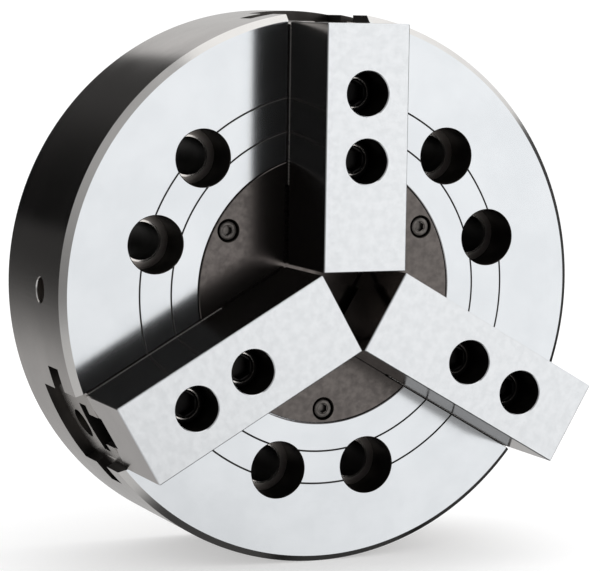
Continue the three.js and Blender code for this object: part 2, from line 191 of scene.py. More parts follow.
glow_near_floor = 0.52
front_panel_glow = 0.50
glow = dome.rising(heading_up, -0.25, 0.9, glow_near_floor, 1.0)
glow = glow + front_panel_glow * panel(0.50, -0.85, 0.02, 4, 33)
# Each card: how dark it is, where it stands, and the degrees from there at which it starts
# to fade and is gone. In order they darken the lower side of jaw 2, the flanks of jaws 1 and
# 3 with their images in the face, the left of the rim (two), the chamfer on the left (two),
# and the chamfer from the right round to the bottom (four).
black_cards = (
    (0.58, (0.21, -0.84, -0.50), 14, 21),
    (0.995, (-0.45, -0.89, -0.05), 18, 26),
    (0.995, (0.10, -0.875, 0.47), 18, 28),
    (0.93, (-0.208, 0.909, 0.36), 17, 20),
    (0.93, (-0.408, 0.909, 0.08), 6, 25),
    (0.60, (-0.80, -0.40, 0.44), 30, 50),
    (0.90, (-0.302, -0.318, 0.898), 4, 6.5),
    (0.93, (0.92, 0.36, -0.02), 15, 20),
    (0.93, (0.80, 0.36, -0.47), 15, 20),
    (0.93, (0.50, 0.17, -0.85), 15, 20),
    (0.90, (0.0, -0.06, -1.0), 16, 26),
)
for darkness, stand, full, edge in black_cards:
    glow = glow * (1 - darkness * panel(*stand, full, edge))
room_glow = 1.06
mirrored_room = dome.add("ShaderNodeBackground", inputs={0: (1, 0.99, 0.98, 1), 1: glow})
white_room = dome.add("ShaderNodeBackground", inputs={0: (1, 1, 1, 1), 1: room_glow})
seen_in_gloss = dome.add("ShaderNodeLightPath", output="Is Glossy Ray")
room = dome.add("ShaderNodeMixShader", inputs={0: seen_in_gloss, 1: white_room, 2: mirrored_room})
world_output = dome.tree.nodes.new("ShaderNodeOutputWorld")
dome.feed(world_output, "Surface", room)

softbox_light = bpy.data.lights.new("softbox", "AREA")
softbox_light.size = 1.6
softbox_light.energy = 9
softbox = bpy.data.objects.new("softbox", softbox_light)
softbox.location = (0.5, -0.5, 1.6)
softbox.rotation_mode = "QUATERNION"
softbox.rotation_quaternion = (look_at - softbox.location).to_track_quat("-Z", "Y")
softbox.visible_glossy = False
scene.collection.objects.link(softbox)

floor_level = cad_box[0].z
floor_reach = 12
floor_shape = bmesh.new()
bmesh.ops.create_grid(floor_shape, x_segments=1, y_segments=1, size=floor_reach)
bmesh.ops.translate(floor_shape, verts=floor_shape.verts, vec=(0, 0, floor_level))
floor_mesh = bpy.data.meshes.new("studio_floor")
floor_shape.to_mesh(floor_mesh)
floor_shape.free()
floor = bpy.data.objects.new("studio_floor", floor_mesh)
scene.collection.objects.link(floor)
floor.visible_glossy = False
pale = bpy.data.materials.new("pale_floor")
pale.use_nodes = True
pale_shader = pale.node_tree.nodes["Principled BSDF"]
pale_shader.inputs["Base Color"].default_value = (0.6, 0.6, 0.6, 1)
pale_shader.inputs["Emission Color"].default_value = (1, 1, 1, 1)
pale_shader.inputs["Emission Strength"].default_value = 0.42
pale_shader.inputs["Roughness"].default_value = 0.9
floor_mesh.materials.append(pale)


# ---- chuck body ----
# One forged alloy-steel disc, turned all over, with its face ground. Three T-slots for the
# jaws are milled and ground, six mounting holes are counterbored, and two circles are
# scribed on the face for setting work by eye.
MM = 0.001
FIT = 0.3
PAST = 2.0
JAW_ANGLES = (0, 120, 240)
JAWS = 3
BETWEEN_JAWS = 60
SAW = "DIFFERENCE"
WELD = "UNION"
KEEP = "INTERSECT"


def span(node):
    """Lowest and highest corner of a CAD node in drawing millimetres."""
    low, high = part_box(node)
    return Vector((low.x, low.z, -high.y)) / MM, Vector((high.x, high.z, -low.y)) / MM


def as_object(name, form, finish):
    """A scene object from a bmesh, all in one finish, its faces pointing outwards."""
    bmesh.ops.remove_doubles(form, verts=form.verts, dist=1e-5)
    bmesh.ops.dissolve_degenerate(form, edges=form.edges, dist=1e-5)
    bmesh.ops.recalc_face_normals(form, faces=form.faces)
    mesh = bpy.data.meshes.new(name)
    form.to_mesh(mesh)
    form.free()
    mesh.materials.append(finish)
    piece = bpy.data.objects.new(name, mesh)
    scene.collection.objects.link(piece)
    return piece


def spun(name, outline, finish, steps=96):
    """A solid turned about the spindle axis from a closed outline of (radius, height)."""
    form = bmesh.new()
    rings = []
    for step in range(steps):
        turn = math.tau * step / steps
        ring = [form.verts.new((r * math.sin(turn), r * math.cos(turn), h)) for r, h in outline]
        rings.append(ring)
    for this, following in zip(rings, rings[1:] + rings[:1]):
        for i, j in zip(range(len(outline)), [*range(1, len(outline)), 0]):
            if outline[i][0] or outline[j][0]:
                form.faces.new((this[i], this[j], following[j], following[i]))
    return as_object(name, form, finish)


def pulled(name, outline, start, end, finish, along="y"):
    """A solid pulled from start to end along one axis, from an outline in the other two."""
    order = {"x": (2, 0, 1), "y": (0, 2, 1), "z": (0, 1, 2)}[along]
    form = bmesh.new()
    ends = []
    for level in (start, end):
        corners = []
        for a, b in outline:
            flat = (a, b, level)
            corners.append(form.verts.new([flat[k] for k in order]))
        ends.append(corners)
    first, last = ends
    form.faces.new(first)
    form.faces.new(last)
    for i in range(len(outline)):
        form.faces.new((first[i - 1], first[i], last[i], last[i - 1]))
    return as_object(name, form, finish)


def both_sides(half_outline):
    """A closed outline from its right-hand half, mirrored to the left."""
    return half_outline + [(-a, b) for a, b in reversed(half_outline)]


def machine(piece, operation, *tools):
    """Cuts tools out of a piece, joins them to it, or keeps what they share."""
    for tool in tools:
        step = piece.modifiers.new("step", "BOOLEAN")
        step.operation = operation
        step.solver = "MANIFOLD"
        step.material_mode = "TRANSFER"
        step.object = tool
    graph = bpy.context.evaluated_depsgraph_get()
    shape = bpy.data.meshes.new_from_object(piece.evaluated_get(graph))
    piece.modifiers.clear()
    piece.data = shape
    for tool in tools:
        bpy.data.objects.remove(tool)
    return piece


def turned_to(piece, degrees):
    """Turns a piece clockwise about the spindle axis, seen from the front."""
    piece.data.transform(Matrix.Rotation(math.radians(-degrees), 4, "Z"))
    return piece


def laid_radially(piece):
    """Lays a piece drawn along the height down along y, the way a jaw slides."""
    piece.data.transform(Matrix.Rotation(math.radians(-90), 4, "X"))
    return piece


def stood(piece, name, degrees=0, crease=32):
    """Stands a finished piece in the frame, turned to its jaw, smooth but for its creases.
    The 'drawn' attribute keeps each point's drawing place, which the finishes follow."""
    piece.name = name
    mesh = piece.data
    mesh.name = name
    drawn = mesh.attributes.new("drawn", "FLOAT_VECTOR", "POINT")
    drawn.data.foreach_set("vector", [c for v in mesh.vertices for c in v.co])
    to_frame = Matrix.Rotation(math.radians(90), 4, "X") @ Matrix.Rotation(math.radians(-degrees), 4, "Z")
    mesh.transform(Matrix.Scale(MM, 4) @ to_frame)
    form = bmesh.new()
    form.from_mesh(mesh)
    for face in form.faces:
        face.smooth = True
    for edge in form.edges:
        edge.smooth = edge.calc_face_angle(0) < math.radians(crease)
    form.to_mesh(mesh)
    form.free()
    return piece


def streaks(graph, lay, width):
    """Fine marks left by a tool, width mm apart: 'rings' and 'hoops' go round the spindle
    axis, on a face or on a rim, and 'along' and 'across' follow or cross the jaw."""
    drawn = graph.add("ShaderNodeAttribute", {"attribute_name": "drawn"}, output="Vector")
    x, y, height = (graph.add("ShaderNodeSeparateXYZ", inputs={0: drawn}, output=k) for k in "XYZ")
    reach = 9
    stretch = 36
    if lay in ("rings", "hoops"):
        radius = (x * x + y * y + 0.01) ** 0.5
        across = radius if lay == "rings" else height
        places = {0: across / width, 1: x / radius * reach, 2: y / radius * reach}
    elif lay == "along":
        places = {0: x / width, 1: y / (width * stretch), 2: height / width}
    else:
        places = {0: x / (width * stretch), 1: y / width, 2: height / width}
    place = graph.add("ShaderNodeCombineXYZ", inputs=places)
    inputs = {"Vector": place, "Scale": 1.0, "Detail": 3.0, "Roughness": 0.6}
    return graph.add("ShaderNodeTexNoise", inputs=inputs)


def metal(name, colour, stain, roughness, lay="across", width=0.5, depth=0.01, spread=0.1, cloud=28):
    """A machined metal: tool marks of a depth in mm, clouds of a second colour some mm
    across, and a roughness that changes by 'spread' between them."""
    finish = bpy.data.materials.new(name)
    finish.use_nodes = True
    graph = Graph(finish.node_tree)
    shader = finish.node_tree.nodes["Principled BSDF"]
    shader.inputs["Metallic"].default_value = 1.0
    marks = streaks(graph, lay, width)
    drawn = graph.add("ShaderNodeAttribute", {"attribute_name": "drawn"}, output="Vector")
    inputs = {"Vector": drawn, "Scale": 1 / cloud, "Detail": 4.0, "Roughness": 0.62}
    clouds = graph.rising(graph.add("ShaderNodeTexNoise", inputs=inputs), 0.3, 0.7)
    cloud_share = 0.75
    share = clouds * cloud_share + marks * (1 - cloud_share)
    graph.feed(shader, "Base Color", graph.colours(share, (*colour, 1), (*stain, 1)))
    graph.feed(shader, "Roughness", (share - 0.5) * spread + roughness)
    relief = {"Strength": 1.0, "Distance": depth * MM, "Height": marks}
    graph.feed(shader, "Normal", graph.add("ShaderNodeBump", inputs=relief))
    return finish


def recipe(name, *sockets):
    """A Geometry Nodes tree with the named inputs, and its input node."""
    tree = bpy.data.node_groups.new(name, "GeometryNodeTree")
    for label, kind in sockets:
        tree.interface.new_socket(name=label, in_out="INPUT", socket_type=kind)
    tree.interface.new_socket(name="Geometry", in_out="OUTPUT", socket_type="NodeSocketGeometry")
    graph = Graph(tree)
    entry = tree.nodes.new("NodeGroupInput")
    return graph, {label: Socket(graph, entry.outputs[label]) for label, kind in sockets}


def served(graph, geometry, finish):
    """Ends a tree: the copies become real geometry in one finish."""
    real = graph.add("GeometryNodeRealizeInstances", inputs={0: geometry})
    ended = graph.add("GeometryNodeSetMaterial", inputs={"Geometry": real, "Material": finish})
    exit_node = graph.tree.nodes.new("NodeGroupOutput")
    graph.feed(exit_node, 0, ended)


def made(name, graph, choices, *used):
    """Runs a tree with its inputs set and keeps the result as a plain mesh object."""
    piece = bpy.data.objects.new(name, bpy.data.meshes.new(name))
    scene.collection.objects.link(piece)
    run = piece.modifiers.new("recipe", "NODES")
    run.node_group = graph.tree
    for socket in graph.tree.interface.items_tree:
        if socket.in_out == "INPUT":
            run[socket.identifier] = choices[socket.name]
    depsgraph = bpy.context.evaluated_depsgraph_get()
    shape = bpy.data.meshes.new_from_object(piece.evaluated_get(depsgraph))
    piece.modifiers.clear()
    piece.data = shape
    for tool in used:
        bpy.data.objects.remove(tool)
    return piece


# Copies of a piece turned about the spindle axis, clockwise from the first angle.
ring_recipe, given = recipe(
    "copies_round_the_axis",
    ("Piece", "NodeSocketObject"),
    ("Count", "NodeSocketInt"),
    ("First Angle", "NodeSocketFloat"),
    ("Finish", "NodeSocketMaterial"),
)
copied = ring_recipe.add("GeometryNodeObjectInfo", inputs={"Object": given["Piece"]}, output="Geometry")
spots = ring_recipe.add("GeometryNodePoints", inputs={"Count": given["Count"]})
number = ring_recipe.add("GeometryNodeInputIndex")
swing = number * (-math.tau) / given["Count"] - given["First Angle"]
facing = ring_recipe.add("ShaderNodeCombineXYZ", inputs={2: swing})
placed = ring_recipe.add(
    "GeometryNodeInstanceOnPoints",
    inputs={"Points": spots, "Instance": copied, "Rotation": facing},
)
served(ring_recipe, placed, given["Finish"])


def round_the_axis(piece, count, first_angle, finish):
    choices = {"Piece": piece, "Count": count, "First Angle": math.radians(first_angle), "Finish": finish}
    return made(piece.name, ring_recipe, choices, piece)


ground_face = metal(
    "ground_face", (0.80, 0.832, 0.865), (0.745, 0.778, 0.812),
    roughness=0.14, lay="rings", width=1.0, depth=0.0006, spread=0.02,
)
# Painted light and shade: rim, rear and chamfer are one turned steel, coloured darker on the rim and rear,
# which face away from the light, and lighter on the front-facing chamfer.
turned_rim = metal(
    "turned_rim", (0.44, 0.418, 0.402), (0.37, 0.352, 0.338),
    roughness=0.14, lay="hoops", width=0.8, depth=0.004, spread=0.05,
)
turned_chamfer = metal(
    "turned_chamfer", (0.87, 0.86, 0.85), (0.80, 0.79, 0.775),
    roughness=0.14, lay="rings", width=0.8, depth=0.002, spread=0.04,
)
# Painted shade: the walls of the slots are coloured near black to stand in for the shade inside them.
slot_wall = metal(
    "slot_wall", (0.10, 0.094, 0.09), (0.055, 0.051, 0.048),
    roughness=0.34, lay="along", width=1.0, depth=0.01,
)
# Painted shade: the walls of the holes are coloured near black to stand in for the shade deep inside them.
oiled_bore = metal(
    "oiled_bore", (0.045, 0.04, 0.036), (0.022, 0.019, 0.017),
    roughness=0.5, lay="hoops", width=1.0, depth=0.01,
)
# Painted shade: the scribed grooves are coloured dark grey to stand in for the shade in them.
scribed_line = metal(
    "scribed_line", (0.13, 0.127, 0.124), (0.17, 0.166, 0.162),
    roughness=0.5, lay="rings", width=0.6, depth=0.01,
)
# Painted highlight: a bright ring on the seat round each mounting hole, and on the top of each jaw-bolt
# head, stands in for the glint on those edges.
bare_edge = metal(
    "bare_edge", (0.88, 0.85, 0.82), (0.76, 0.73, 0.70),
    roughness=0.14, lay="rings", width=0.8, depth=0.001, spread=0.04,
)
# Painted shade: the counterbore seats and the eye hole's wall are coloured darker than the ground face,
# for the shade down in them.
spot_face = metal(
    "spot_face", (0.50, 0.46, 0.43), (0.36, 0.33, 0.31),
    roughness=0.30, lay="rings", width=0.8, depth=0.003, spread=0.05,
)

body_high = span("chuck_body")[1]
body_radius = body_high.x
body_height = body_high.z
rim_chamfer = 3.0
rear_chamfer = 1.5
register_radius = 110.0
register_depth = 6.0
register_lead = 1.0
wedge_bore_radius = 46.0
cover_low, cover_high = span("centre_cover")
cover_radius = cover_high.x
cover_seat = cover_low.z - FIT
edge_break = 0.4
scribe_radii = (75.2, 90.2)
scribe_half_width = 0.42
scribe_depth = 0.4

body_outline = [
    (wedge_bore_radius, register_depth),
    (register_radius, register_depth),
    (register_radius, register_lead),
    (register_radius + register_lead, 0),
    (body_radius - rear_chamfer, 0),
    (body_radius, rear_chamfer),
    (body_radius, body_height - rim_chamfer),
    (body_radius - rim_chamfer, body_height),
]
for scribe_radius in reversed(scribe_radii):
    body_outline += [
        (scribe_radius + scribe_half_width, body_height),
        (scribe_radius, body_height - scribe_depth),
        (scribe_radius - scribe_half_width, body_height),
    ]
body_outline += [
    (cover_radius + FIT + edge_break, body_height),
    (cover_radius + FIT, body_height - edge_break),
    (cover_radius + FIT, cover_seat),
    (wedge_bore_radius, cover_seat),
]
body = spun("body", body_outline, ground_face, steps=288)

slot_half = 20.15
slot_edge = 0.2
wing_half = 31.0
slot_floor = 32.0
wing_floor = 47.5
wing_roof = 61.5
jaw_slot = pulled("jaw_slot", both_sides([
    (slot_half, slot_floor),
    (slot_half, wing_floor),
    (wing_half, wing_floor),
    (wing_half, wing_roof),
    (slot_half, wing_roof),
    (slot_half, body_height - slot_edge),
    (slot_half + slot_edge + PAST, body_height + PAST),
]), 0, body_radius + PAST, slot_wall)

mount_circle = 85.7
mount_half_angle = 15
mount_radius = 8.75
mount_head_radius = 12.95
mount_seat = 60.0
# Width of the painted highlight ring on the seat round each mounting hole.
mount_highlight_width = 0.9
mount_holes = []
for side in (-1, 1):
    hole = spun("mount_hole", [
        (0, -PAST),
        (mount_radius + edge_break + PAST, -PAST),
        (mount_radius, edge_break),
        (mount_radius, mount_seat),
        (mount_radius + mount_highlight_width, mount_seat),
        (mount_head_radius, mount_seat),
        (mount_head_radius, body_height - edge_break),
        (mount_head_radius + edge_break + PAST, body_height + PAST),
        (0, body_height + PAST),
    ], oiled_bore, steps=72)
    hole.data.transform(Matrix.Translation((0, mount_circle, 0)))
    mount_holes.append(round_the_axis(hole, JAWS, BETWEEN_JAWS + side * mount_half_angle, oiled_bore))

cover_screw_circle = 55.5
cover_screw_radius = 2.5
tapped_depth = 11.0
tapped_tip = 1.0
tapped = spun("tapped_hole", [
    (0, cover_seat - tapped_depth - tapped_tip),
    (cover_screw_radius, cover_seat - tapped_depth),
    (cover_screw_radius, cover_seat + PAST),
    (0, cover_seat + PAST),
], oiled_bore, steps=24)
tapped.data.transform(Matrix.Translation((0, cover_screw_circle, 0)))

eye_radius = 5.8
eye_depth = 18.0
eye_tip = 3.4
eye_level = 50.0
eye_angle = 270
eye_lead = 0.5
eye_hole = laid_radially(spun("eye_hole", [
    (0, body_radius - eye_depth - eye_tip),
    (eye_radius, body_radius - eye_depth),
    (eye_radius, body_radius - eye_lead),
    (eye_radius + eye_lead + PAST, body_radius + PAST),
    (0, body_radius + PAST),
], spot_face, steps=64))
eye_hole.data.transform(Matrix.Translation((0, 0, eye_level)))

machine(
    body, SAW,
    round_the_axis(jaw_slot, JAWS, 0, slot_wall),
    *mount_holes,
    round_the_axis(tapped, JAWS, BETWEEN_JAWS, oiled_bore),
    turned_to(eye_hole, eye_angle),
)


def refinish(piece, finish, chosen):
    """Gives a finish to the faces that a test on their middle and normal picks out."""
    mesh = piece.data
    mesh.materials.append(finish)
    for face in mesh.polygons:
        if chosen(face.center, face.normal):
            face.material_index = len(mesh.materials) - 1


def radius_of(point):
    return math.hypot(point.x, point.y)


def from_mount(point):
    """Distance of a point from the axis of the nearest mounting hole."""
    angles = [jaw + BETWEEN_JAWS + side * mount_half_angle for jaw in JAW_ANGLES for side in (-1, 1)]
    return min(
        math.hypot(
            point.x - mount_circle * math.sin(math.radians(angle)),
            point.y - mount_circle * math.cos(math.radians(angle)),
        )
        for angle in angles
    )


# How far forwards a normal points on a face that counts as flat, half turned or barely turned
# to the front, and the radius and heights at which the rim, the rear and the face start.
flat_front = 0.99
half_front = 0.5
little_front = 0.3
rim_from = 122.5
rear_up_to = 6.5
face_from = 79.5
near = 0.01
refinish(body, turned_rim, lambda at, facing: radius_of(at) > rim_from
         or (at.z < rear_up_to and facing.z < -half_front))
refinish(body, scribed_line, lambda at, facing: at.z > face_from and little_front < facing.z < flat_front
         and min(abs(radius_of(at) - r) for r in scribe_radii) < scribe_half_width)
refinish(body, turned_chamfer, lambda at, facing: radius_of(at) > body_radius - rim_chamfer
         and half_front < facing.z < flat_front)
refinish(body, spot_face, lambda at, facing: abs(at.z - mount_seat) < near and facing.z > flat_front)
# Painted highlight: a narrow bright ring on each seat round the through hole.
refinish(body, bare_edge, lambda at, facing: abs(at.z - mount_seat) < near and facing.z > flat_front
         and from_mount(at) < mount_radius + mount_highlight_width)
stood(body, "machined_body")
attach(body, "chuck")
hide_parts("chuck_body")

# ---- wedge plunger ----
# A hardened steel piston in the middle of the body. Three sloping T-slots in its sides pull
# the jaws in and push them out as the drawbar slides it 19 mm; its hole takes the draw screw.
hard_steel = metal(
    "hard_steel", (0.52, 0.515, 0.51), (0.36, 0.35, 0.345),
    roughness=0.33, lay="rings", width=0.5, depth=0.01,
)
wedge_face = metal(
    "wedge_face", (0.44, 0.43, 0.42), (0.33, 0.32, 0.31),
    roughness=0.30, lay="along", width=0.5, depth=0.006,
)
plunger_low, plunger_high = span("plunger")
plunger_radius = plunger_high.x
plunger_rear = plunger_low.z
plunger_front = plunger_high.z
screw_low, screw_high = span("draw_screw")
flange_radius = screw_high.x
flange_thickness = 6.1
screw_radius = 13.0
shoulder = screw_low.z + flange_thickness
stroke = frame["joints"][0]["range_m"][1] / MM
jaw_travel = frame["joints"][1]["range_m"][1] / MM
slope = jaw_travel / stroke
wedge_radius = 36.0
wedge_level = 28.0
neck_half = 8.7
neck_depth = 6.3
hook_half = 14.7
hook_depth = 7.4
jaw_half = 20.0
chamfer = 1.0
overlap = 0.1


def on_slope(height, offset):
    """Radius of the sloping face at a height, moved out square to the slope."""
    return wedge_radius + slope * (wedge_level - height) + offset * math.hypot(1, slope)


def sloping_bar(name, half, bottom, top, inside, outside, finish):
    """A bar that follows the sloping face, between two offsets from it."""
    return pulled(name, [
        (on_slope(bottom, inside), bottom),
        (on_slope(bottom, outside), bottom),
        (on_slope(top, outside), top),
        (on_slope(top, inside), top),
    ], -half, half, finish, along="x")


wedge = spun("wedge", [
    (flange_radius + FIT, plunger_rear + edge_break),
    (flange_radius + FIT + edge_break, plunger_rear),
    (plunger_radius - chamfer, plunger_rear),
    (plunger_radius, plunger_rear + chamfer),
    (plunger_radius, plunger_front - chamfer),
    (plunger_radius - chamfer, plunger_front),
    (screw_radius + FIT, plunger_front),
    (screw_radius + FIT, shoulder + FIT),
    (flange_radius + FIT, shoulder + FIT),
], hard_steel, steps=160)
slot_ends = (plunger_rear - PAST, plunger_front + PAST)
hook_floor = -neck_depth - hook_depth - FIT
wedge_slots = []
for half, inside, outside in (
    (jaw_half + FIT, -FIT / 2, plunger_radius),
    (neck_half + FIT, FIT - neck_depth - overlap, PAST),
    (hook_half + FIT, hook_floor, FIT - neck_depth),
):
    tool = sloping_bar("wedge_slot", half, *slot_ends, inside, outside, wedge_face)
    wedge_slots.append(round_the_axis(tool, JAWS, 0, wedge_face))
detent_level = 30.0
detent_hole_radius = 3.3
detent_angle = 180
detent_hole = laid_radially(spun("detent_hole", [
    (0, 0),
    (detent_hole_radius, 0),
    (detent_hole_radius, plunger_radius + PAST),
    (0, plunger_radius + PAST),
], oiled_bore, steps=32))
detent_hole.data.transform(Matrix.Translation((0, 0, detent_level)))
machine(wedge, SAW, *wedge_slots, turned_to(detent_hole, detent_angle))
stood(wedge, "machined_wedge")
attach(wedge, "wedge_plunger")
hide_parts("plunger")

# ---- draw screw ----
# A black-oxide alloy screw with a flange. The drawbar screws into its threaded bore from
# the rear, and a hexagon in its front lets a fitter turn it through the middle of the chuck.
black_oxide = metal(
    "black_oxide", (0.045, 0.043, 0.042), (0.02, 0.02, 0.021),
    roughness=0.38, lay="rings", width=0.4, depth=0.01,
)
thread_flank = metal(
    "thread_flank", (0.12, 0.115, 0.11), (0.06, 0.057, 0.055),
    roughness=0.35, lay="hoops", width=0.4, depth=0.01,
)

# A wire or a groove wound round the height axis.
coil_recipe, given = recipe(
    "coil",
    ("Radius", "NodeSocketFloat"),
    ("Turns", "NodeSocketFloat"),
    ("Length", "NodeSocketFloat"),
    ("Wire Radius", "NodeSocketFloat"),
    ("Wire Sides", "NodeSocketInt"),
    ("Steps", "NodeSocketInt"),
    ("Finish", "NodeSocketMaterial"),
)
helix = coil_recipe.add("GeometryNodeCurveSpiral", inputs={
    "Resolution": given["Steps"],
    "Rotations": given["Turns"],
    "Start Radius": given["Radius"],
    "End Radius": given["Radius"],
    "Height": given["Length"],
})
wire = coil_recipe.add("GeometryNodeCurvePrimitiveCircle", inputs={
    "Resolution": given["Wire Sides"],
    "Radius": given["Wire Radius"],
})
wound = coil_recipe.add("GeometryNodeCurveToMesh", inputs={
    "Curve": helix,
    "Profile Curve": wire,
    "Fill Caps": True,
})
served(coil_recipe, wound, given["Finish"])


def coiled(name, radius, turns, length, wire_radius, sides, finish, steps=36):
    return made(name, coil_recipe, {
        "Radius": radius,
        "Turns": turns,
        "Length": length,
        "Wire Radius": wire_radius,
        "Wire Sides": sides,
        "Steps": steps,
        "Finish": finish,
    })


def hexagon(across_flats, turn=0):
    """Six corners round the origin."""
    corner = across_flats / math.sqrt(3)
    angles = [math.radians(60 * k + turn) for k in range(6)]
    return [(corner * math.sin(angle), corner * math.cos(angle)) for angle in angles]


screw_front = screw_high.z
screw_rear = screw_low.z
drawbar_radius = 10.0
drawbar_depth = 24.0
drawbar_tip = 2.0
thread_pitch = 2.5
thread_radius = 1.05
thread_length = 21.0
socket_across = 14.0
socket_depth = 9.0
draw_screw = spun("draw_screw", [
    (0, screw_rear + drawbar_depth + drawbar_tip),
    (drawbar_radius, screw_rear + drawbar_depth),
    (drawbar_radius, screw_rear + chamfer),
    (drawbar_radius + chamfer, screw_rear),
    (flange_radius - edge_break, screw_rear),
    (flange_radius, screw_rear + edge_break),
    (flange_radius, shoulder - edge_break),
    (flange_radius - edge_break, shoulder),
    (screw_radius, shoulder),
    (screw_radius, screw_front - chamfer),
    (screw_radius - chamfer, screw_front),
    (0, screw_front),
], black_oxide, steps=96)
thread = coiled("thread", drawbar_radius, thread_length / thread_pitch, thread_length,
                thread_radius, sides=4, finish=thread_flank)
thread.data.transform(Matrix.Translation((0, 0, screw_rear - chamfer)))
hex_socket = pulled("hex_socket", hexagon(socket_across), screw_front - socket_depth,
                    screw_front + PAST, black_oxide, along="z")
machine(draw_screw, SAW, thread, hex_socket)
stood(draw_screw, "threaded_draw_screw")
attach(draw_screw, "draw_screw")
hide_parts("draw_screw")

# ---- retaining ring ----
# A hardened ring screwed into the rear of the plunger behind the flange of the draw screw.
# Two slots across its face take a pin wrench.
ring_low, ring_high = span("screw_retaining_ring")
ring_inner = 14.0
ring_outer = ring_high.x
ring_slot_half = 2.0
ring_slot_depth = 1.4
ring = spun("ring", [
    (ring_inner, ring_low.z + edge_break),
    (ring_inner + edge_break, ring_low.z),
    (ring_outer - edge_break, ring_low.z),
    (ring_outer, ring_low.z + edge_break),
    (ring_outer, ring_high.z),
    (ring_inner, ring_high.z),
], hard_steel, steps=96)
ring_slot = pulled("ring_slot", [
    (-ring_slot_half, ring_low.z - PAST),
    (ring_slot_half, ring_low.z - PAST),
    (ring_slot_half, ring_low.z + ring_slot_depth),
    (-ring_slot_half, ring_low.z + ring_slot_depth),
], -ring_outer - PAST, ring_outer + PAST, slot_wall)
machine(ring, SAW, ring_slot)
stood(ring, "slotted_retaining_ring")
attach(ring, "wedge_plunger")
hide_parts("screw_retaining_ring")

# ---- detent ----
# A ball pressed by a spring against the notches of the draw screw, with a set screw behind
# it, so that the draw screw can't turn by itself. All three sit in a hole in the plunger.
spring_steel = metal(
    "spring_steel", (0.70, 0.70, 0.71), (0.58, 0.57, 0.56),
    roughness=0.24, lay="hoops", width=0.2, depth=0.002,
)
ball_low, ball_high = span("detent_ball")
ball_radius = (ball_high.x - ball_low.x) / 2
ball_bands = 24
ball_middle = (ball_low.y + ball_high.y) / 2
arc = [math.pi * k / ball_bands for k in range(ball_bands + 1)]
ball = spun("ball", [(ball_radius * math.sin(a), -ball_radius * math.cos(a)) for a in arc],
            spring_steel, steps=48)
ball.data.transform(Matrix.Translation((0, ball_middle, detent_level)))
stood(ball, "polished_detent_ball")
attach(ball, "detent_ball")
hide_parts("detent_ball")

spring_low, spring_high = span("detent_spring")
wire_radius = 0.4
spring_turns = 5
spring_length = spring_high.y - spring_low.y - 2 * wire_radius
spring = coiled("spring", (spring_high.x - spring_low.x) / 2 - wire_radius, spring_turns,
                spring_length, wire_radius, sides=10, finish=spring_steel, steps=32)
laid_radially(spring)
spring.data.transform(Matrix.Translation((0, spring_low.y + wire_radius, detent_level)))
stood(spring, "wound_detent_spring", crease=50)
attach(spring, "wedge_plunger")
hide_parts("detent_spring")

plug_low, plug_high = span("detent_set_screw")
plug_radius = (plug_high.x - plug_low.x) / 2
plug_length = plug_high.y - plug_low.y
plug_socket = 3.0
plug = spun("plug", [
    (0, 0),
    (plug_radius, 0),
    (plug_radius, plug_length - edge_break),
    (plug_radius - edge_break, plug_length),
    (0, plug_length),
], black_oxide, steps=32)
plug_hexagon = pulled("plug_hexagon", hexagon(plug_socket), -PAST, plug_length / 2, black_oxide, along="z")
machine(plug, SAW, plug_hexagon)
laid_radially(plug)
plug.data.transform(Matrix.Translation((0, plug_low.y, detent_level)))
stood(plug, "socketed_detent_screw")
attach(plug, "wedge_plunger")
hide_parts("detent_set_screw")

# ---- centre cover ----
# A dark, phosphated steel disc let flush into the face over the plunger, notched round the
# three jaws and counterbored for its three screws.
phosphate = metal(
    "phosphate", (0.165, 0.149, 0.141), (0.105, 0.095, 0.091),
    roughness=0.21, lay="rings", width=1.3, depth=0.002, spread=0.06, cloud=3,
)
cover_screw_counterbore = 5.0
cover_screw_seat = 74.5
notch_radius = 47.8
cover = spun("cover", [
    (0, cover_low.z),
    (cover_radius, cover_low.z),
    (cover_radius, body_height - edge_break),
    (cover_radius - edge_break, body_height),
    (0, body_height),
], phosphate, steps=192)
notch = pulled("notch", both_sides([
    (slot_half, cover_low.z - PAST),
    (slot_half, body_height - slot_edge),
    (slot_half + slot_edge + PAST, body_height + PAST),
]), notch_radius, cover_radius + PAST, phosphate)
counterbore = spun("cover_counterbore", [
    (0, cover_low.z - PAST),
    (cover_screw_radius + FIT, cover_low.z - PAST),
    (cover_screw_radius + FIT, cover_screw_seat),
    (cover_screw_counterbore, cover_screw_seat),
    (cover_screw_counterbore, body_height - edge_break),
    (cover_screw_counterbore + edge_break + PAST, body_height + PAST),
    (0, body_height + PAST),
], oiled_bore, steps=48)
counterbore.data.transform(Matrix.Translation((0, cover_screw_circle, 0)))
machine(
    cover, SAW,
    round_the_axis(notch, JAWS, 0, phosphate),
    round_the_axis(counterbore, JAWS, BETWEEN_JAWS, oiled_bore),
)
stood(cover, "flush_cover")
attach(cover, "chuck")
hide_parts("centre_cover")


# ---- cover screws ----
# Three M5 socket-head screws in black oxide, sunk just below the face of the cover.
def socket_screw(name, radius, length, head_radius, head_height, across, seat, finish):
    """A socket-head screw standing on its seat, with a dished, chamfered hexagon."""
    top = seat + head_height
    rounding = head_radius * 0.12
    dish = rounding * 0.6
    corner = across / math.sqrt(3)
    screw = spun(name, [
        (0, seat - length),
        (radius - rounding, seat - length),
        (radius, seat - length + rounding),
        (radius, seat),
        (head_radius, seat),
        (head_radius, top - rounding),
        (head_radius - rounding * 0.3, top - rounding * 0.3),
        (head_radius - rounding, top),
        (corner + rounding * 1.1, top),
        (corner + dish, top),
        (corner, top - dish),
        (0, top - dish),
    ], finish, steps=64)
    socket_floor = top - head_height * 0.55
    key_way = pulled("hexagon", hexagon(across), socket_floor, top + PAST, finish, along="z")
    return machine(screw, SAW, key_way)
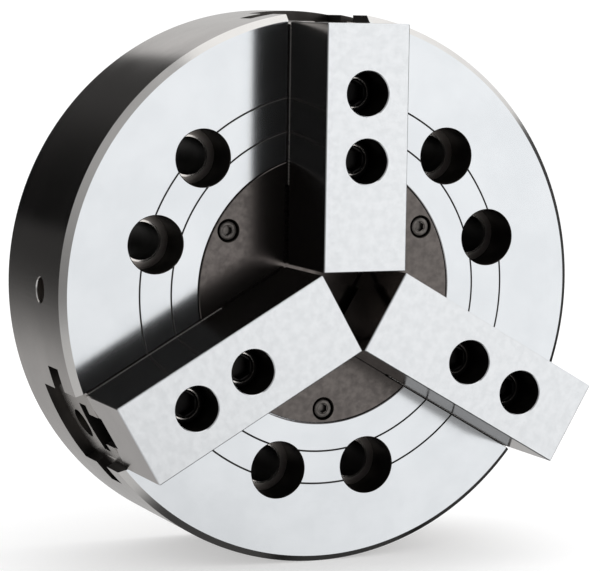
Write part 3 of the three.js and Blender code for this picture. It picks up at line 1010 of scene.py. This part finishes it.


# The cover screws are coloured a lighter grey-black than the black oxide of the other screws.
rubbed_black = metal(
    "rubbed_black", (0.20, 0.186, 0.176), (0.12, 0.112, 0.106),
    roughness=0.34, lay="rings", width=0.6, depth=0.004, spread=0.1, cloud=2,
)
cover_screw_length = 12.0
cover_head_radius = 4.25
cover_head_height = 4.6
cover_screw_hex = 4.0
cover_screw = socket_screw(
    "cover_screw", cover_screw_radius, cover_screw_length, cover_head_radius, cover_head_height,
    cover_screw_hex, cover_screw_seat + FIT, rubbed_black)
cover_screw.data.transform(Matrix.Translation((0, cover_screw_circle, 0)))
cover_screws = stood(round_the_axis(cover_screw, JAWS, BETWEEN_JAWS, rubbed_black), "cover_screws")
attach(cover_screws, "chuck")
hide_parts("cover_screw_1", "cover_screw_2", "cover_screw_3")

# ---- master jaws ----
# Hardened steel slides that run in the body's T-slots. A hook at the inner end rides the
# plunger, a T-slot along the top holds the T-nut, and 1.5 mm serrations grip the top jaw.
jaw_flank = metal(
    "jaw_flank", (0.50, 0.475, 0.455), (0.42, 0.398, 0.38),
    roughness=0.18, lay="along", width=1.0, depth=0.002, spread=0.05,
)
jaw_end = metal(
    "jaw_end", (0.49, 0.464, 0.442), (0.41, 0.388, 0.367),
    roughness=0.26, lay="across", width=0.8, depth=0.002, spread=0.06,
)
tooth_flank = metal(
    "tooth_flank", (0.74, 0.73, 0.72), (0.6, 0.59, 0.58),
    roughness=0.3, lay="across", width=0.3, depth=0.004,
)
# Painted shade: the T-slots and grease pockets are coloured near black to stand in for the shade inside
# them.
t_slot_wall = metal(
    "t_slot_wall", (0.10, 0.094, 0.09), (0.05, 0.047, 0.045),
    roughness=0.4, lay="along", width=0.5, depth=0.02,
)

# Copies of a piece in a straight row.
row_recipe, given = recipe(
    "copies_in_a_row",
    ("Piece", "NodeSocketObject"),
    ("Count", "NodeSocketInt"),
    ("First Place", "NodeSocketVector"),
    ("Spacing", "NodeSocketVector"),
    ("Finish", "NodeSocketMaterial"),
)
copied = row_recipe.add("GeometryNodeObjectInfo", inputs={"Object": given["Piece"]}, output="Geometry")
spots = row_recipe.add("GeometryNodeMeshLine", inputs={
    "Count": given["Count"],
    "Start Location": given["First Place"],
    "Offset": given["Spacing"],
})
placed = row_recipe.add("GeometryNodeInstanceOnPoints", inputs={"Points": spots, "Instance": copied})
served(row_recipe, placed, given["Finish"])


def in_a_row(piece, count, first, spacing, finish):
    choices = {"Piece": piece, "Count": count, "First Place": first, "Spacing": spacing, "Finish": finish}
    return made(piece.name, row_recipe, choices, piece)


tooth_pitch = 1.5
tooth_half = 0.7
tooth_depth = tooth_half * math.sqrt(3)


def teeth(level, inner, outer, pointing):
    """A row of 60-degree grooves across the jaw, pointing up (1) or down (-1) from a level."""
    groove = pulled("groove", [
        (-2 * tooth_half, level - pointing * tooth_depth),
        (2 * tooth_half, level - pointing * tooth_depth),
        (0, level + pointing * tooth_depth),
    ], -jaw_half - PAST, jaw_half + PAST, tooth_flank, along="x")
    count = int((outer - inner) / tooth_pitch) + 1
    return in_a_row(groove, count, (0, inner, 0), (0, tooth_pitch, 0), tooth_flank)


def eased(corners, by):
    """A closed outline with its outside corners cut back by a small chamfer."""
    area = sum(a[0] * b[1] - b[0] * a[1] for a, b in zip(corners, corners[1:] + corners[:1]))
    outline = []
    for i, corner in enumerate(corners):
        here = Vector(corner)
        before = Vector(corners[i - 1]) - here
        after = Vector(corners[(i + 1) % len(corners)]) - here
        if (after.x * before.y - after.y * before.x) * area > 0:
            outline += [tuple(here + before.normalized() * by), tuple(here + after.normalized() * by)]
        else:
            outline.append(corner)
    return outline


def bar(name, half, bottom, top, inner, outer, finish):
    """A straight bar along the jaw with eased edges."""
    corners = [(-half, bottom), (half, bottom), (half, top), (-half, top)]
    return pulled(name, eased(corners, edge_break), inner, outer, finish)


master_low, master_high = span("master_jaw_1")
jaw_floor = master_low.z
jaw_top = master_high.z
hook_top = 66.0
jaw_inner = 48.3
wing_inner = 50.3
wing_low = 47.8
wing_high = 61.2
end_chamfer = 5.0
crest = 0.6
t_neck_half = 8.0
t_head_half = 12.5
t_floor = 61.5
t_shoulder = 70.5
t_inner = 50.5
nipple_level = 51.0
pocket_radius = 7.3
pocket_floor = 109.0
nipple_hole_radius = 3.3
nipple_hole_depth = 7.0
jaw_wing_half = 30.7
neck_root = 1.0
clear_above = 3.0

for number, degrees in enumerate(JAW_ANGLES, 1):
    outer = body_radius + PAST
    side_view = eased([
        (on_slope(jaw_floor, FIT / 2), jaw_floor),
        (outer, jaw_floor),
        (outer, jaw_top + crest),
        (jaw_inner, jaw_top + crest),
        (jaw_inner, hook_top),
        (on_slope(hook_top, FIT / 2), hook_top),
    ], edge_break)
    slide = bar("slide", jaw_half, jaw_floor, jaw_top + crest, 0, outer, jaw_flank)
    side_shape = pulled("side_view", side_view, -jaw_half - PAST, jaw_half + PAST, jaw_flank, along="x")
    machine(slide, KEEP, side_shape)
    machine(
        slide, WELD,
        bar("wings", jaw_wing_half, wing_low, wing_high, wing_inner, outer, jaw_flank),
        sloping_bar("hook_neck", neck_half, jaw_floor, hook_top, -neck_depth - overlap,
                    neck_root, wedge_face),
        sloping_bar("hook_head", hook_half, jaw_floor, hook_top, -neck_depth - hook_depth,
                    -neck_depth, wedge_face),
    )
    end_round = spun("end_round", [
        (0, 0),
        (body_radius - end_chamfer, 0),
        (body_radius - end_chamfer, jaw_floor),
        (body_radius, jaw_floor + end_chamfer),
        (body_radius, jaw_top - edge_break),
        (body_radius - edge_break - clear_above, jaw_top + clear_above),
        (0, jaw_top + clear_above),
    ], jaw_end, steps=288)
    end_round.data.transform(Matrix.Translation((0, -jaw_travel, 0)))
    machine(slide, KEEP, end_round)
    t_slot = pulled("t_slot", both_sides([
        (t_head_half, t_floor),
        (t_head_half, t_shoulder),
        (t_neck_half, t_shoulder),
        (t_neck_half, jaw_top),
        (t_neck_half + PAST, jaw_top + PAST),
    ]), t_inner, outer + PAST, t_slot_wall)
    pocket = laid_radially(spun("pocket", [
        (0, pocket_floor - nipple_hole_depth),
        (nipple_hole_radius, pocket_floor - nipple_hole_depth),
        (nipple_hole_radius, pocket_floor),
        (pocket_radius, pocket_floor),
        (pocket_radius, outer + PAST),
        (0, outer + PAST),
    ], t_slot_wall, steps=64))
    pocket.data.transform(Matrix.Translation((0, 0, nipple_level)))
    machine(slide, SAW, t_slot, pocket, teeth(jaw_top + crest, jaw_inner + 1, body_radius, -1))
    stood(slide, f"serrated_master_jaw_{number}", degrees)
    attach(slide, f"jaw_{number}")
    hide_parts(f"master_jaw_{number}")

# ---- grease nipples ----
# Brass nipples screwed into the pocket in the outer end of each master jaw, with a hexagon
# foot and a button head that the grease gun grips.
nipple_brass = metal(
    "nipple_brass", (0.86, 0.80, 0.70), (0.72, 0.62, 0.46),
    roughness=0.42, lay="hoops", width=0.6, depth=0.003,
)
nipple_foot = pocket_floor + FIT
nipple_hex = 9.0
nipple_hex_height = 5.0
hex_corner_lead = 0.5
hex_corner_radius = 5.04
# Radius and height above the foot: threaded end, waist, button head and the hole in its tip.
nipple_outline = (
    (0, -6.4),
    (3.0, -6.4),
    (3.0, 5),
    (2.2, 6.5),
    (2.2, 8.5),
    (2.9, 9.1),
    (3.2, 9.7),
    (3.0, 10.4),
    (2.3, 11.2),
    (1.6, 11.5),
    (0.6, 11.5),
    (0.5, 10.5),
    (0, 10.5),
)
for number, degrees in enumerate(JAW_ANGLES, 1):
    outline = [(radius, nipple_foot + height) for radius, height in nipple_outline]
    nipple = spun("nipple", outline, nipple_brass, steps=40)
    hex_top = nipple_foot + nipple_hex_height
    foot = pulled("foot", hexagon(nipple_hex), nipple_foot, hex_top, nipple_brass, along="z")
    dome_cut = spun("dome_cut", [
        (0, nipple_foot - nipple_hole_depth),
        (hex_corner_radius, nipple_foot - nipple_hole_depth),
        (hex_corner_radius, hex_top - hex_corner_lead),
        (nipple_hex / 2, hex_top),
        (0, hex_top),
    ], nipple_brass, steps=40)
    machine(foot, KEEP, dome_cut)
    machine(nipple, WELD, foot)
    laid_radially(nipple)
    nipple.data.transform(Matrix.Translation((0, 0, nipple_level)))
    stood(nipple, f"turned_grease_nipple_{number}", degrees)
    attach(nipple, f"jaw_{number}")
    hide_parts(f"grease_nipple_{number}")

# ---- T-nuts ----
# One long hardened nut slides in the T-slot of each master jaw, tapped for both jaw bolts.
nut_low, nut_high = span("t_nut_1")
bolt_places = (61.0, 91.0)
bolt_radius = 6.0
for number, degrees in enumerate(JAW_ANGLES, 1):
    nut = bar("nut", t_head_half - FIT, nut_low.z, t_shoulder - FIT, nut_low.y, nut_high.y, hard_steel)
    neck = bar(
        "neck", t_neck_half - FIT, t_shoulder - PAST, nut_high.z, nut_low.y, nut_high.y, hard_steel)
    machine(nut, WELD, neck)
    hole = spun("tapped_hole", [
        (0, nut_low.z - PAST),
        (bolt_radius + FIT, nut_low.z - PAST),
        (bolt_radius + FIT, nut_high.z - chamfer),
        (bolt_radius + FIT + chamfer + PAST, nut_high.z + PAST),
        (0, nut_high.z + PAST),
    ], oiled_bore, steps=48)
    spacing = (0, bolt_places[1] - bolt_places[0], 0)
    machine(nut, SAW, in_a_row(hole, len(bolt_places), (0, bolt_places[0], 0), spacing, oiled_bore))
    stood(nut, f"tapped_t_nut_{number}", degrees)
    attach(nut, f"jaw_{number}")
    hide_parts(f"t_nut_{number}")

# ---- top jaws ----
# Soft steel blocks, milled all over, that the user bores to fit the work. A keyway along
# the underside sits on the T-nut, and two deep counterbores hide the bolt heads.
# Painted light and shade: one milled soft steel, coloured light on the front faces and darker grey on the
# flanks and ends, for how the light falls on them.
soft_jaw = metal(
    "soft_jaw", (0.835, 0.86, 0.887), (0.785, 0.812, 0.84),
    roughness=0.22, lay="across", width=1.2, depth=0.002, spread=0.05, cloud=4,
)
soft_flank = metal(
    "soft_flank", (0.46, 0.438, 0.424), (0.40, 0.381, 0.369),
    roughness=0.14, lay="along", width=1.2, depth=0.0015, spread=0.04,
)
top_low, top_high = span("top_jaw_1")
top_half = top_high.x
keyway_top = 85.8
bolt_seat = 95.4
bolt_hole_radius = 6.75
counterbore_radius = 10.0
front_layer = 1.0
for number, degrees in enumerate(JAW_ANGLES, 1):
    form = bmesh.new()
    bmesh.ops.create_cube(form, size=1)
    bottom = top_low.z - crest
    middle = Vector((0, (top_low.y + top_high.y) / 2, (bottom + top_high.z) / 2))
    size = Vector((2 * top_half, top_high.y - top_low.y, top_high.z - bottom))
    form.transform(Matrix.Translation(middle) @ Matrix.Diagonal((*size, 1)))
    upper = [e for e in form.edges if any(v.co.z > middle.z for v in e.verts)]
    bmesh.ops.bevel(form, geom=upper, offset=edge_break, segments=1, affect="EDGES")
    block = as_object("block", form, soft_flank)
    keyway = pulled("keyway", [
        (-t_neck_half, bottom - PAST),
        (t_neck_half, bottom - PAST),
        (t_neck_half, keyway_top),
        (-t_neck_half, keyway_top),
    ], top_low.y - PAST, top_high.y + PAST, slot_wall)
    hole = spun("bolt_hole", [
        (0, bottom - PAST),
        (bolt_hole_radius, bottom - PAST),
        (bolt_hole_radius, bolt_seat),
        (counterbore_radius, bolt_seat),
        (counterbore_radius, top_high.z - edge_break),
        (counterbore_radius + edge_break + PAST, top_high.z + PAST),
        (0, top_high.z + PAST),
    ], oiled_bore, steps=80)
    holes = in_a_row(hole, len(bolt_places), (0, bolt_places[0], 0), spacing, oiled_bore)
    teeth_start = top_low.y + tooth_pitch / 2 - (top_low.y - jaw_inner - 1) % tooth_pitch
    machine(block, SAW, keyway, holes, teeth(bottom, teeth_start, top_high.y, 1))
    # The front faces take the lighter, painted-light copy of the jaw steel.
    refinish(block, soft_jaw, lambda at, facing: facing.z > half_front and at.z > top_high.z - front_layer)
    stood(block, f"milled_top_jaw_{number}", degrees)
    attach(block, f"jaw_{number}")
    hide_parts(f"top_jaw_{number}")

# ---- jaw bolts ----
# Two M12 socket-head bolts in black oxide clamp each top jaw to its T-nut.
bolt_low, bolt_high = span("jaw_bolt_1_inner")
bolt_head_radius = bolt_high.x
bolt_head_height = 12.0
bolt_seat_level = bolt_high.z - bolt_head_height
bolt_length = bolt_seat_level - bolt_low.z
bolt_hex = 10.0
# Radii of the painted highlight ring on the top of each bolt head.
highlight_from = 6.3
highlight_to = 7.0


def from_bolt(point):
    """Distance of a point from the axis of the nearest bolt of an upright jaw."""
    return min(math.hypot(point.x, point.y - place) for place in bolt_places)


for number, degrees in enumerate(JAW_ANGLES, 1):
    bolt = socket_screw("jaw_bolt", bolt_radius, bolt_length, bolt_head_radius, bolt_head_height,
                        bolt_hex, bolt_seat_level, black_oxide)
    bolts = in_a_row(bolt, len(bolt_places), (0, bolt_places[0], 0), spacing, black_oxide)
    # Painted highlight: a thin bright ring on the top of each bolt head.
    refinish(bolts, bare_edge, lambda at, facing: at.z > bolt_high.z - front_layer
             and facing.z > flat_front and highlight_from < from_bolt(at) < highlight_to)
    stood(bolts, f"socket_jaw_bolts_{number}", degrees)
    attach(bolts, f"jaw_{number}")
    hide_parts(f"jaw_bolt_{number}_inner", f"jaw_bolt_{number}_outer")
